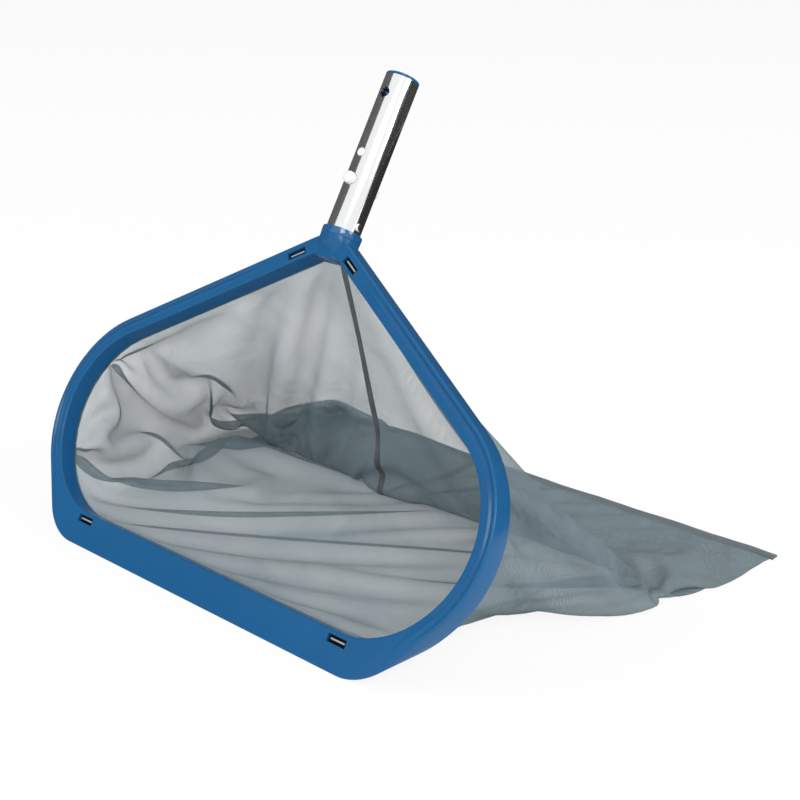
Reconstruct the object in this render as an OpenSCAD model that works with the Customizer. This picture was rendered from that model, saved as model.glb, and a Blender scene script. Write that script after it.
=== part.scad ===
// Leaf skimmer net for a swimming pool: a scoop frame with a mesh bag, and a
// short tube that plugs into a telescopic pole. Millimetres, +Z up.
// The frame leans back on its scoop edge, and the bag lies on the floor behind it.
// Origin: the middle of the scoop edge's sole. +X is across the frame, +Y is back.
// Frame pieces are drawn flat, x across, y up the frame and z out of its face,
// and leaned() then stands them up.

/* [Stance] */
// Lean of the frame back from upright, in degrees
lean = 32; // [28:1:34]
// Depth of the flat sole cut on the scoop edge
sole_cut = 0.6; // [0.4:0.1:1]

/* [Frame outline] */
// Half length of the scoop edge, to its sharp corner
scoop_half = 183; // [175:1:190]
// Radius of the scoop edge's corners
scoop_r = 50; // [40:1:60]
// How far the scoop edge reaches below the back of the frame
scoop_drop = 15; // [14:0.5:18]
// Half length of the frame's bottom at the back, to its sharp corner
base_half = 195; // [190:1:200]
// Radius of the frame's bottom corners at the back
base_r = 95; // [85:1:100]
// Half width at the shoulders, to the sharp corner
shoulder_half = 284; // [276:1:292]
// Height of the shoulders' sharp corner
shoulder_h = 144; // [138:1:150]
// Radius of the shoulders
shoulder_r = 97; // [90:1:102]
// Height of the peak, where the two arms would meet in a sharp corner
peak_h = 316; // [306:1:330]
// Radius of the peak
peak_r = 34; // [30:1:38]

/* [Frame section] */
// Width of the rim, seen from the front
rim_w = 14; // [13:0.5:16]
// Depth of the frame, front to back
depth = 19; // [17:0.5:20]
// Thickness of the front face
face_t = 3; // [2.6:0.1:3.6]
// Thickness of the outer wall
outer_wall = 2.6; // [2:0.1:3]
// Thickness of the inner wall
inner_wall = 2.4; // [2:0.1:2.6]
// Thickness of the clamping ring behind the mesh
clamp_t = 2; // [1.6:0.1:3]
// Slot between the inner wall and the clamping ring, for the mesh
mesh_slot = 1; // [0.9:0.05:1.2]
// Distance of the face groove from the outer edge
groove_in = 3.2; // [2.8:0.1:4]
// Width of the face groove
groove_w = 3.4; // [2:0.1:4]
// Depth of the face groove
groove_d = 1.6; // [0.8:0.1:2]

/* [Latches] */
// Length of each latch window along the rim
window_l = 18; // [16:0.5:20]
// Width of each latch window
window_w = 6; // [5.5:0.1:6.5]
// Depth of each latch window's pocket
window_d = 1.8; // [1.5:0.1:2.2]
// Distance from the middle to each lower latch
low_latch_x = 149; // [130:1:156]
// Distance from the middle to each upper latch
high_latch_x = 34; // [33:1:60]
// Width of a latch blade
blade_w = 13; // [10:0.5:14]
// Thickness of a latch blade
blade_t = 2.2; // [1.8:0.1:2.3]

/* [Neck and tube] */
// Outer diameter of the handle tube
tube_d = 28.5; // [28:0.1:29]
// Wall of the handle tube
tube_wall = 1.5; // [1.2:0.1:1.8]
// Length of the handle tube, without its end plug
tube_l = 139; // [130:1:160]
// Height of the neck's top above the scoop edge, where the tube seats
neck_top = 310; // [309:0.5:312]
// Wall of the neck and of the collar round the tube
collar_wall = 2.2; // [1.8:0.1:2.6]
// Height of the collar ring
collar_h = 5.8; // [5:0.1:7]
// Shadow gap under the collar ring
collar_gap = 0.5; // [0.3:0.1:0.8]
// Length of the spigot inside the tube
spigot_l = 26; // [22:1:30]
// Wall of the spigot
spigot_wall = 3; // [2:0.1:4]
// Thickness of the end plug's flange
plug_t = 2.2; // [1.5:0.1:3]
// Length of the end plug's sleeve inside the tube
plug_l = 9; // [6:0.5:12]
// Wall of the end plug's sleeve
plug_wall = 2; // [1.5:0.1:3]
// Diameter of the cross hole near the tube's free end
cross_d = 8.8; // [6:0.1:9]
// Distance of the cross hole from the tube's free end
cross_from_end = 19; // [16:0.5:21]
// Height of the rivets above the neck's top
rivet_up = 12; // [11:0.5:14]
// Diameter of a rivet's shank
rivet_d = 4; // [3:0.1:4.6]
// Diameter of a rivet's head
rivet_head_d = 7; // [6:0.1:8]
// Height of a rivet's head
rivet_head_t = 1.1; // [0.8:0.1:1.6]

/* [Snap clip] */
// Distance of the snap buttons from the neck's top
button_up = 47; // [44:1:50]
// Diameter of a snap button
button_d = 10; // [9:0.1:10.5]
// How far a button stands out of the tube
button_h = 6.2; // [5:0.1:6.4]
// Straight part of a button outside the tube
button_straight = 2.6; // [1.5:0.1:3]
// Distance of the small locating nub from the button
nub_up = 23; // [20:1:26]
// Diameter of the nub
nub_d = 6.8; // [5:0.1:7]
// How far the nub stands out of the tube
nub_h = 0.9; // [0.5:0.1:1.2]
// Distance of the clip's bow from the button
bow_up = 50; // [47:1:53]
// Width of the clip's strip
strip_w = 6; // [5:0.1:6.6]
// Thickness of the clip's strip
strip_t = 2.4; // [2:0.1:2.6]
// Clearance round a button and a nub in the tube's wall
button_gap = 0.5; // [0.4:0.05:0.6]

/* [Bag] */
// Thickness of the mesh in the bag's walls
mesh_t = 0.8; // [0.7:0.05:0.9]
// Distance from the sole to the bag's far end
bag_reach = 375; // [350:1:400]
// Half width of the bag's far end
bag_end_half = 303; // [280:1:310]
// How far the hanging mesh runs back, from the peak to the floor
hang_run = 60; // [50:1:80]
// Extra run of the hanging mesh at the shoulders
shoulder_run = 40; // [30:1:50]
// Spread of the bag where its top layer meets the floor
foot_spread = 1.17; // [1.1:0.01:1.2]
// Half width of the bag's floor just behind the frame
floor_half = 178; // [172:1:182]
// Height of the two flat layers on the floor
flat_t = 2.4; // [2.2:0.1:3]
// Width of the sewn hem at the far end
hem_w = 12; // [8:1:16]
// Width of the dark seam tape down the middle
tape_w = 7; // [5:0.5:9]
// Thickness of the seam tape
tape_t = 0.6; // [0.5:0.1:1]
// Width of the rolled edge of the mesh inside the frame
roll_w = 3; // [2.4:0.1:3.2]
// Depth of the rolled edge
roll_h = 3.2; // [2.5:0.1:4]

/* [Hidden] */

$fn = 96;
hair = 0.01;
fit = 0.1;
soft_gap = 0.3;
far = 60;

// Colours
blue = [0.13, 0.37, 0.60];
steel = [0.80, 0.81, 0.82];
white = [0.93, 0.94, 0.93];
mesh_grey = [0.66, 0.69, 0.70];
tape_grey = [0.35, 0.36, 0.37];
hook_grey = [0.55, 0.57, 0.58];

// ---- Outlines ------------------------------------------------------------

// Segments in each rounded corner and in each straight run
base_seg = 8;
side_seg = 3;
shoulder_seg = 10;
arm_seg = 10;
peak_seg = 6;

// Rounded corner at b, on a path from a to c: [centre, radius, first angle, turn]
function corner(a, b, c, r) =
    let (
        into = (b - a) / norm(b - a),
        out = (c - b) / norm(c - b),
        first = atan2(into.y, into.x),
        turn = (atan2(out.y, out.x) - first + 540) % 360 - 180
    )
    [b - into * r * tan(turn / 2) + [-into.y, into.x] * r, r, first - 90, turn];

// Sharp corners of an outline, counter-clockwise from the lower right
function corners_of(half, bottom) = [
    [half, bottom],
    [shoulder_half, shoulder_h],
    [0, peak_h],
    [-shoulder_half, shoulder_h],
    [-half, bottom]
];

// The five arcs of an outline. The low arc leaves a short straight run below the
// shoulder's arc.
short_run = 1;
function arcs_of(half, bottom, low_r, top_r) =
    let (
        p = corners_of(half, bottom),
        low_turn = atan2(shoulder_h - bottom, shoulder_half - half),
        top_turn = 180 - atan2(peak_h - shoulder_h, shoulder_half) - low_turn,
        room = norm(p[1] - p[0]) - shoulder_r * tan(top_turn / 2) - short_run,
        low = min(low_r, room / tan(low_turn / 2)),
        r = [low, shoulder_r, top_r, shoulder_r, low]
    )
    [for (k = [0 : 4]) corner(p[(k + 4) % 5], p[k], p[(k + 1) % 5], r[k])];

// A point of an arc, moved inwards by inset
function on_arc(arc, share, inset) =
    arc[0] + (arc[1] - inset) * [cos(arc[2] + share * arc[3]), sin(arc[2] + share * arc[3])];

function arc_points(arc, seg, inset) = [for (k = [0 : seg]) on_arc(arc, k / seg, inset)];

// Points between two ends, without the ends
function between(a, b, cuts) = [for (k = [1 : 1 : cuts - 1]) a + (b - a) * k / cuts];

// Whole outline with the bottom edge cut into low_cuts pieces
function ring(arcs, inset, low_cuts) = concat(
    arc_points(arcs[0], base_seg, inset),
    between(on_arc(arcs[0], 1, inset), on_arc(arcs[1], 0, inset), side_seg),
    arc_points(arcs[1], shoulder_seg, inset),
    between(on_arc(arcs[1], 1, inset), on_arc(arcs[2], 0, inset), arm_seg),
    arc_points(arcs[2], peak_seg, inset),
    between(on_arc(arcs[2], 1, inset), on_arc(arcs[3], 0, inset), arm_seg),
    arc_points(arcs[3], shoulder_seg, inset),
    between(on_arc(arcs[3], 1, inset), on_arc(arcs[4], 0, inset), side_seg),
    arc_points(arcs[4], base_seg, inset),
    between(on_arc(arcs[4], 1, inset), on_arc(arcs[0], 0, inset), low_cuts)
);

front_arcs = arcs_of(scoop_half, 0, scoop_r, peak_r);
back_arcs = arcs_of(base_half, scoop_drop, base_r, peak_r);
// The channel's roof is flatter, which leaves the neck solid above it
roof_more = 26;
roof_r = peak_r + roof_more;
front_roof_arcs = arcs_of(scoop_half, 0, scoop_r, roof_r);
back_roof_arcs = arcs_of(base_half, scoop_drop, base_r, roof_r);

// Slab of an outline from depth z0 to z1
module slab(arcs, inset, z0, z1) {
    translate([0, 0, z0])
        linear_extrude(z1 - z0)
            polygon(ring(arcs, inset, 1));
}

// Thin slice of an outline for a hull
module slice(arcs, inset, z) {
    slab(arcs, inset, z, z + hair);
}

// ---- Stance ----------------------------------------------------------------

// The frame's underside runs back from the scoop edge at this slope
under_run = scoop_drop * sin(lean) + depth * cos(lean);
under_rise = scoop_drop * cos(lean) - depth * sin(lean);
// Middle of the sole, back from the scoop edge
sole_mid = sole_cut * (tan(lean) + under_run / under_rise) / 2;

// Stands a flat frame piece up, with the sole's middle at the origin
module leaned() {
    translate([0, -sole_mid, -sole_cut])
        rotate([90 - lean, 0, 0])
            children();
}

// The same for a point
function stood(p) = [
    p.x,
    p.y * sin(lean) - p.z * cos(lean) - sole_mid,
    p.y * cos(lean) + p.z * sin(lean) - sole_cut
];

// ---- Frame section ---------------------------------------------------------

clamp_z = -depth + clamp_t;
inner_wall_z = clamp_z + mesh_slot;
clamp_gap = 0.25;
// Inset of the clamping ring's inner edge
clamp_in = rim_w - 1;
// The recess for the clamping ring reaches this far into the channel
recess_in = 1;

// Middle of the depth: the tube's axis lies here
tube_z = -depth / 2 - 0.5;
tube_r = tube_d / 2;
bore_r = tube_r - tube_wall;
neck_r = tube_r + collar_wall;
tube_y = neck_top + fit;
tube_end_y = tube_y + tube_l;

// Neck: a round band on top that fairs into a flat foot between the two arms
neck_foot_half = 22;
neck_foot_drop = 19;
neck_foot_y = peak_h - neck_foot_drop;
neck_foot_in = 0.8;
neck_band = 2.5;
module neck_solid() {
    hull() {
        translate([0, neck_top, tube_z])
            rotate([90, 0, 0])
                cylinder(r = neck_r, h = neck_band);
        translate([-neck_foot_half, neck_foot_y, -depth + neck_foot_in])
            cube([2 * neck_foot_half, 1, depth - 2 * neck_foot_in]);
    }
}

// Channel behind the face, between the outer and the inner wall
module channel() {
    difference() {
        hull() {
            slice(front_roof_arcs, outer_wall, -face_t);
            slice(back_roof_arcs, outer_wall, -depth - 1);
        }
        slab(back_arcs, rim_w - inner_wall, -far, far);
    }
}

// Face groove, which runs between these two heights
groove_low = 62;
groove_top_drop = 52;
groove_high = peak_h - groove_top_drop;
module groove() {
    difference() {
        slab(front_arcs, groove_in, -groove_d, far);
        slab(front_arcs, groove_in + groove_w, -far, far + 1);
        translate([-far * 6, -far, -far])
            cube([far * 12, groove_low + far, far * 3]);
        translate([-far * 6, groove_high, -far])
            cube([far * 12, far * 2, far * 3]);
    }
}

// ---- Latches ---------------------------------------------------------------

// Angle of the arms
arm_angle = atan((peak_h - shoulder_h) / shoulder_half);
high_latch_y = peak_h - high_latch_x * tan(arm_angle);

// Puts a latch drawn with y inwards from the frame's back outline, where side
// is -1 or 1
module at_low_latch(side) {
    translate([side * low_latch_x, scoop_drop, 0])
        children();
}

module at_high_latch(side) {
    translate([side * high_latch_x, high_latch_y, 0])
        rotate(180 - side * arm_angle)
            children();
}

module at_latches() {
    for (side = [-1, 1]) {
        at_low_latch(side) children();
        at_high_latch(side) children();
    }
}

latch_mid = 8;
slot_in = latch_mid - window_w / 2;
// Gap between a latch blade and its slot's outer side
blade_gap = 0.2;

module window_cut() {
    translate([-window_l / 2, slot_in, -window_d])
        cube([window_l, window_w, far]);
    translate([-blade_w / 2 - blade_gap, slot_in, -far / 2])
        cube([blade_w + 2 * blade_gap, blade_t + 2 * blade_gap, far]);
}

// Latch: a blade through the frame, with a hooked head in the window's pocket
head_z = -window_d + fit;
head_sunk = 0.6;
head_over = 2.2;
module latch_shape() {
    head_t = window_d - head_sunk;
    head_l = blade_t + head_over;
    color(hook_grey) {
        translate([-blade_w / 2, slot_in + blade_gap, clamp_z])
            cube([blade_w, blade_t, head_z + head_t - clamp_z]);
        translate([-blade_w / 2, slot_in + blade_gap, head_z])
            cube([blade_w, head_l, head_t]);
    }
}

// ---- Frame pieces ----------------------------------------------------------

spigot_r = bore_r - fit;
rivet_y = neck_top + rivet_up;

// Cylinder across the frame, along x, at height y on the tube's axis
module cross_x(y, r, x0, x1) {
    translate([x0, y, tube_z])
        rotate([0, 90, 0])
            cylinder(r = r, h = x1 - x0);
}

// Cylinder square to the frame, along z, at height y, from the tube's axis
module cross_z(y, r, z0, z1) {
    translate([0, y, tube_z + z0])
        cylinder(r = r, h = z1 - z0);
}

// Cylinder along the tube
module along(y0, y1, r) {
    translate([0, y1, tube_z])
        rotate([90, 0, 0])
            cylinder(r = r, h = y1 - y0);
}

module front_frame() {
    color(blue)
        difference() {
            leaned()
                difference() {
                    union() {
                        hull() {
                            slice(front_arcs, 0, -hair);
                            slice(back_arcs, 0, -depth);
                        }
                        neck_solid();
                    }
                    slab(back_arcs, rim_w, -far, far);
                    channel();
                    slab(back_arcs, rim_w - inner_wall - recess_in, -far, inner_wall_z);
                    groove();
                    at_latches() window_cut();
                }
            translate([-scoop_half * 2, -far, -far])
                cube([scoop_half * 4, far * 3, far]);
        }
}

// Spigot that stands on the neck and carries the tube
module tube_spigot() {
    color(blue)
        leaned()
            difference() {
                along(neck_top, neck_top + spigot_l, spigot_r);
                along(neck_top - 1, neck_top + spigot_l + 1, spigot_r - spigot_wall);
                cross_x(rivet_y, rivet_d / 2 + fit, -tube_d, tube_d);
            }
}

module clamp_ring() {
    color(blue)
        leaned()
            difference() {
                slab(back_roof_arcs, outer_wall + clamp_gap, -depth, clamp_z);
                slab(back_arcs, clamp_in, -far, far);
            }
}

// Rolled edge of the mesh, in the channel
roll_in = rim_w - inner_wall - soft_gap - roll_w;
module mesh_roll() {
    color(mesh_grey)
        leaned()
            difference() {
                slab(back_arcs, roll_in, inner_wall_z, inner_wall_z + roll_h);
                slab(back_arcs, roll_in + roll_w, -far, far);
            }
}

module latch_low_left() {
    leaned() at_low_latch(-1) latch_shape();
}

module latch_low_right() {
    leaned() at_low_latch(1) latch_shape();
}

module latch_high_left() {
    leaned() at_high_latch(-1) latch_shape();
}

module latch_high_right() {
    leaned() at_high_latch(1) latch_shape();
}

// ---- Tube pieces -----------------------------------------------------------

collar_over = 0.2;
module neck_collar() {
    color(blue)
        leaned()
            difference() {
                along(neck_top + collar_gap, neck_top + collar_gap + collar_h, neck_r + collar_over);
                along(neck_top, neck_top + collar_h + 2, tube_r + fit);
            }
}

button_y = neck_top + button_up;
nub_y = button_y + nub_up;
bow_y = button_y + bow_up;
cross_y = tube_end_y + plug_t - cross_from_end;

module handle_tube() {
    color(steel)
        leaned()
            difference() {
                along(tube_y, tube_end_y, tube_r);
                along(tube_y - 1, tube_end_y + 1, bore_r);
                cross_z(cross_y, cross_d / 2, -tube_d, tube_d);
                cross_z(button_y, button_d / 2 + button_gap, -tube_d, tube_d);
                cross_z(nub_y, nub_d / 2 + button_gap, -tube_d, tube_d);
                cross_x(rivet_y, rivet_d / 2 + fit, -tube_d, tube_d);
            }
}

module end_plug() {
    color(blue)
        leaned()
            difference() {
                union() {
                    along(tube_end_y, tube_end_y + plug_t, tube_r);
                    along(tube_end_y - plug_l, tube_end_y + 1, bore_r - fit);
                }
                along(tube_end_y - plug_l - 1, tube_end_y + plug_t + 1, bore_r - fit - plug_wall);
            }
}

// Rivet on one side, where side is -1 or 1
module rivet(side) {
    shank = tube_r - (spigot_r - spigot_wall);
    color(steel)
        leaned()
            mirror([side < 0 ? 1 : 0, 0, 0]) {
                cross_x(rivet_y, rivet_d / 2, tube_r - shank, tube_r + rivet_head_t);
                cross_x(rivet_y, rivet_head_d / 2, tube_r + fit, tube_r + rivet_head_t);
            }
}

module rivet_left() {
    rivet(-1);
}

module rivet_right() {
    rivet(1);
}

// ---- Snap clip -------------------------------------------------------------

// Radius at which the strip's outer face lies, inside the tube's bore
strip_gap = 0.25;
strip_r = sqrt(pow(bore_r - strip_gap, 2) - pow(strip_w / 2, 2));
strip_mid = strip_r - strip_t / 2;
knuckle_r = strip_t / 2;
// Length of an arm beyond its button
arm_over = 8;

// Bow that joins the two arms: half a ring with a round seat at each end
module clip_bow() {
    color(white)
        leaned()
            difference() {
                translate([-strip_w / 2, bow_y, tube_z])
                    rotate([0, 90, 0])
                        difference() {
                            cylinder(r = strip_r, h = strip_w);
                            translate([0, 0, -1])
                                cylinder(r = strip_r - strip_t, h = strip_w + 2);
                            translate([-tube_d, -2 * tube_d, -1])
                                cube([2 * tube_d, 2 * tube_d, strip_w + 2]);
                        }
                for (side = [-1, 1])
                    translate([-strip_w, bow_y, tube_z + side * strip_mid])
                        rotate([0, 90, 0])
                            cylinder(r = knuckle_r + fit, h = 2 * strip_w);
            }
}

// Profile of a domed button, from its root to its tip
dome_h = button_h - button_straight;
dome_seg = 12;
function button_profile(root) = concat(
    [[0, root], [button_d / 2, root]],
    [for (k = [0 : dome_seg])
        let (a = 90 * k / dome_seg)
        [button_d / 2 * cos(a) * (k == dome_seg ? 0 : 1), tube_r + button_straight + dome_h * sin(a)]]
);

// Arm of the clip with its button and nub, drawn towards +z
module clip_arm() {
    arm_len = bow_up + arm_over;
    color(white) {
        translate([-strip_w / 2, bow_y - arm_len, tube_z + strip_r - strip_t])
            cube([strip_w, arm_len, strip_t]);
        translate([-strip_w / 2, bow_y, tube_z + strip_mid])
            rotate([0, 90, 0])
                cylinder(r = knuckle_r, h = strip_w);
        translate([0, button_y, tube_z])
            rotate_extrude()
                polygon(button_profile(strip_r - strip_t));
        cross_z(nub_y, nub_d / 2, strip_r - strip_t, tube_r + nub_h);
    }
}

module clip_arm_front() {
    leaned() clip_arm();
}

module clip_arm_back() {
    leaned()
        translate([0, 0, 2 * tube_z])
            mirror([0, 0, 1])
                clip_arm();
}

// ---- Bag -------------------------------------------------------------------

// Ring indices: the right-hand extreme, the count before the bottom run, and
// the cuts that give the top and the bottom the same number of points
right_i = base_seg + side_seg + 4;
upper_count = 2 * (base_seg + 1) + 2 * (side_seg - 1) + 2 * (shoulder_seg + 1)
    + 2 * (arm_seg - 1) + peak_seg + 1;
low_points = upper_count - 4 * right_i - 2;
ring_n = upper_count + low_points;
peak_i = (upper_count - 1) / 2;
chain_n = upper_count - 2 * right_i;

// The mesh passes the clamping ring this far in from the frame's outline
pass_gap = 0.15;
pass_t = 0.7;
pass_out = clamp_in + pass_gap;
pass_in = pass_out + pass_t;
// Its flange lies in the slot, up to the rolled edge
flange_over = 0.4;
flange_in = roll_in + flange_over;
flange_front = inner_wall_z - pass_gap;
flange_back = clamp_z + pass_gap;
behind = -depth - mesh_t;

function mesh_ring(inset, z) = [for (p = ring(back_arcs, inset, low_points + 1)) stood([p.x, p.y, z])];

mouth = mesh_ring(pass_out, behind);
side_x = mouth[right_i].x;
side_z = mouth[right_i].z;
low_z = mouth[ring_n - 1].z;
peak_y = mouth[peak_i].y;
flat_end = bag_reach - hem_w - soft_gap;

// A point is on the top layer between the two extremes
function on_top(i) = i > right_i && i < upper_count - 1 - right_i;
function is_side(i) = i == right_i || i == upper_count - 1 - right_i;

function mix(a, b, share) = a + (b - a) * share;
function limit(x) = max(0, min(1, x));

// Where the top layer meets the floor, in y
function foot_y(x) = peak_y + hang_run + shoulder_run * pow(x / side_x, 2);

// Half width of the bag's floor, which spreads from a share of the hang on, and
// place of the side fold
spread_share = 0.3;
function floor_x(t) =
    mix(floor_half, side_x * foot_spread, limit((t - spread_share) / (1 - spread_share)));
function fold_x(t) = mix(side_x, side_x * foot_spread, t);
function fold_z(t) = mix(side_z, flat_t / 2, t);

// Top layer and side fold at t, 0 at the mouth and 1 at the floor
function hang_top(m, t, low) = [
    m.x * mix(1, foot_spread, t),
    mix(m.y, foot_y(m.x), t),
    mix(m.z, low, t)
];

// Bottom layer at t: the lower side rises to the fold, the rest is on the floor
// from land_share on
land_share = 0.08;
function rise(m) = limit((m.z - low_z) / (side_z - low_z));
function floor_point(m, t) =
    let (
        s = m.x < 0 ? -1 : 1,
        flat_x = floor_x(t) * min(1, abs(m.x) / floor_half)
    )
    [
        s * mix(flat_x, fold_x(t), rise(m)),
        mix(m.y, foot_y(m.x), t),
        rise(m) * fold_z(t)
    ];
function hang_low(m, t) = t < land_share ? mix(m, floor_point(m, land_share), t / land_share) : floor_point(m, t);

function hang(i, t) =
    on_top(i) ? hang_top(mouth[i], t, flat_t)
    : is_side(i) ? hang_top(mouth[i], t, flat_t / 2)
    : hang_low(mouth[i], t);

// Flat part at t, 1 at the hanging layer's foot and 2 at the hem
function bag_end(i) =
    let (p = hang(i, 1))
    [p.x * bag_end_half / (side_x * foot_spread), flat_end, p.z];
function bag(i, t) = t <= 1 ? hang(i, t) : mix(hang(i, 1), bag_end(i), t - 1);

hang_rows = [0.08, 0.25, 0.5, 0.75, 0.93];
flat_rows = [1, 1.5, 2];

function row(t) = [for (i = [0 : ring_n - 1]) bag(i, t)];

// Row moved inwards by the mesh's thickness
step_share = 0.03;
function inner(i, t) =
    let (
        across = bag((i + 1) % ring_n, t) - bag((i + ring_n - 1) % ring_n, t),
        down = bag(i, t + step_share) - bag(i, t - step_share),
        n = cross(across, down)
    )
    bag(i, t) + n / norm(n) * mesh_t;
function inner_row(t) = [for (i = [0 : ring_n - 1]) inner(i, t)];

// Rows of the whole bag: outside from the far end to the mouth, round the
// flange, and inside from the mouth back to the end of the hollow
bag_rows = concat(
    [for (k = [len(flat_rows) - 1 : -1 : 0]) row(flat_rows[k])],
    [for (k = [len(hang_rows) - 1 : -1 : 0]) row(hang_rows[k])],
    [
        mouth,
        mesh_ring(pass_out, flange_back),
        mesh_ring(flange_in, flange_back),
        mesh_ring(flange_in, flange_front),
        mesh_ring(pass_in, flange_front),
        mesh_ring(pass_in, behind)
    ],
    [for (t = hang_rows) inner_row(t)]
);

// Faces between rows, and across the first and the last one
function skin(rows, n) = [
    for (k = [0 : rows - 2])
        for (i = [0 : n - 1])
            let (j = (i + 1) % n)
            for (f = [
                [k * n + i, (k + 1) * n + i, (k + 1) * n + j],
                [k * n + i, (k + 1) * n + j, k * n + j]
            ]) f
];
function top_i(j) = right_i + j;
function low_i(j) = (right_i - j + ring_n) % ring_n;
function zip() = concat(
    [for (j = [0 : chain_n - 3]) [top_i(j), top_i(j + 1), low_i(j + 1)]],
    [for (j = [1 : chain_n - 2]) [top_i(j), low_i(j + 1), low_i(j)]]
);
function turned(faces, first) = [for (f = faces) [f[2] + first, f[1] + first, f[0] + first]];

module net_bag() {
    last = (len(bag_rows) - 1) * ring_n;
    color(mesh_grey)
        polyhedron(
            points = [for (r = bag_rows) each r],
            faces = concat(skin(len(bag_rows), ring_n), zip(), turned(zip(), last))
        );
}

// Seam tape on the outside of the bag, from the clamping ring to the hem
tape_rows = [0.03, 0.08, 0.25, 0.5, 0.75, 0.93, 1, 1.5, 1.99];
function tape_back(t) =
    let (d = bag(peak_i, t + 0.01) - bag(peak_i, t - 0.01))
    [0, -d.z, d.y] / norm(d);
function tape_ring(t) = [
    for (c = [[-0.5, 0], [0.5, 0], [0.5, 1], [-0.5, 1]])
        bag(peak_i, t) + [c.x * tape_w, 0, 0] + tape_back(t) * (soft_gap + c.y * tape_t)
];

module seam_tape() {
    n = len(tape_rows);
    color(tape_grey)
        polyhedron(
            points = [for (t = tape_rows) each tape_ring(t)],
            faces = concat(
                [for (f = skin(n, 4)) [f[2], f[1], f[0]]],
                [[3, 2, 1, 0], [4 * n - 4, 4 * n - 3, 4 * n - 2, 4 * n - 1]]
            )
        );
}

module end_hem() {
    color(mesh_grey)
        translate([-bag_end_half, bag_reach - hem_w, 0])
            cube([2 * bag_end_half, hem_w, flat_t]);
}

front_frame();
clamp_ring();
mesh_roll();
latch_low_left();
latch_low_right();
latch_high_left();
latch_high_right();
tube_spigot();
neck_collar();
handle_tube();
end_plug();
rivet_left();
rivet_right();
clip_bow();
clip_arm_front();
clip_arm_back();
net_bag();
seam_tape();
end_hem();
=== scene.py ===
"""Leaf skimmer net: the looks of a scoop frame with a mesh bag and a short pole tube.

Lengths are in metres. Frame pieces are drawn flat, x across, y up the frame and z out
of its face, and STAND leans them back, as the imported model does.
"""

import math
from collections import namedtuple

import bmesh
import bpy
import numpy
from mathutils import Matrix, Vector, noise


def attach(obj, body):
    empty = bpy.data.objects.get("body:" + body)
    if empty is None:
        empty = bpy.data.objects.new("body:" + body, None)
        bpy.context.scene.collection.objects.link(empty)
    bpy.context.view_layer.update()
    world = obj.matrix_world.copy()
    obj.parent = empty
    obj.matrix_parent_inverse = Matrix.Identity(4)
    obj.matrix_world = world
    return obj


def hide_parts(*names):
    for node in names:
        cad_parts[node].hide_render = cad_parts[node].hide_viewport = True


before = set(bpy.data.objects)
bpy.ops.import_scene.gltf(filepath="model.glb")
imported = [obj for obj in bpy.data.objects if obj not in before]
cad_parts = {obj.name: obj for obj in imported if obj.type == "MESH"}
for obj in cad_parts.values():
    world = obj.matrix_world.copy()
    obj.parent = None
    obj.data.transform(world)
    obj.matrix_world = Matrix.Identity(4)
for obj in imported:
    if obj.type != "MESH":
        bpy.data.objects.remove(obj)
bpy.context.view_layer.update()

# ---- Sizes ------------------------------------------------------------------

MM = 0.001
LEAN = math.radians(32)
SOLE_CUT = 0.6 * MM

SCOOP_HALF, SCOOP_R, SCOOP_DROP = 183 * MM, 50 * MM, 15 * MM
BASE_HALF, BASE_R = 195 * MM, 95 * MM
SHOULDER_HALF, SHOULDER_H, SHOULDER_R = 284 * MM, 144 * MM, 97 * MM
PEAK_H, PEAK_R = 316 * MM, 34 * MM
RIM_W, DEPTH, FACE_T = 14 * MM, 19 * MM, 3 * MM
OUTER_WALL, INNER_WALL, CLAMP_T, MESH_SLOT = 2.6 * MM, 2.4 * MM, 2 * MM, 1 * MM
INNER_DEEP = DEPTH - CLAMP_T - MESH_SLOT
RIM_ROUND = 1.3 * MM

WINDOW_L, WINDOW_W, LATCH_MID = 18 * MM, 6 * MM, 8 * MM
LOW_LATCH_X, HIGH_LATCH_X = 149 * MM, 34 * MM

TUBE_R, TUBE_WALL, TUBE_L = 14.25 * MM, 1.5 * MM, 139 * MM
NECK_TOP, NECK_WALL = 310 * MM, 2.2 * MM
TUBE_BACK, SEAT_GAP = 0.5 * MM, 0.1 * MM
TUBE_Z = -DEPTH / 2 - TUBE_BACK
TUBE_Y = NECK_TOP + SEAT_GAP
TUBE_END = TUBE_Y + TUBE_L
COLLAR_H, COLLAR_PROUD = 6.2 * MM, 0.2 * MM
PLUG_T, PLUG_DEEP, PLUG_WALL = 2.2 * MM, 9 * MM, 2 * MM
CROSS_Y, CROSS_R = TUBE_END + PLUG_T - 19 * MM, 4.4 * MM
RIVET_Y, RIVET_R, RIVET_DOME, RIVET_SUNK = NECK_TOP + 12 * MM, 3.5 * MM, 1.3 * MM, 0.05 * MM

# Snap clip: each button and nub has a straight side that ends at a height over the
# tube, and a domed tip
BUTTON_Y, BUTTON_R, BUTTON_SIDE, BUTTON_TIP = NECK_TOP + 47 * MM, 5 * MM, 2.6 * MM, 6.2 * MM
NUB_Y, NUB_R, NUB_SIDE, NUB_TIP = BUTTON_Y + 23 * MM, 3.4 * MM, 0.3 * MM, 0.9 * MM
HOLE_GAP, HOLE_REACH = 0.5 * MM, 30 * MM
BOW_Y = BUTTON_Y + 50 * MM
STRIP_W, STRIP_T, STRIP_L, STRIP_GAP = 6 * MM, 2.4 * MM, 58 * MM, 0.25 * MM

BAG_REACH, BAG_END_HALF = 375 * MM, 303 * MM
HEM_W, HEM_T, HEM_LAP, HEM_RAGGED = 12 * MM, 1.8 * MM, 1.5 * MM, 0.5 * MM

# ---- Stance -----------------------------------------------------------------

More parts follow.
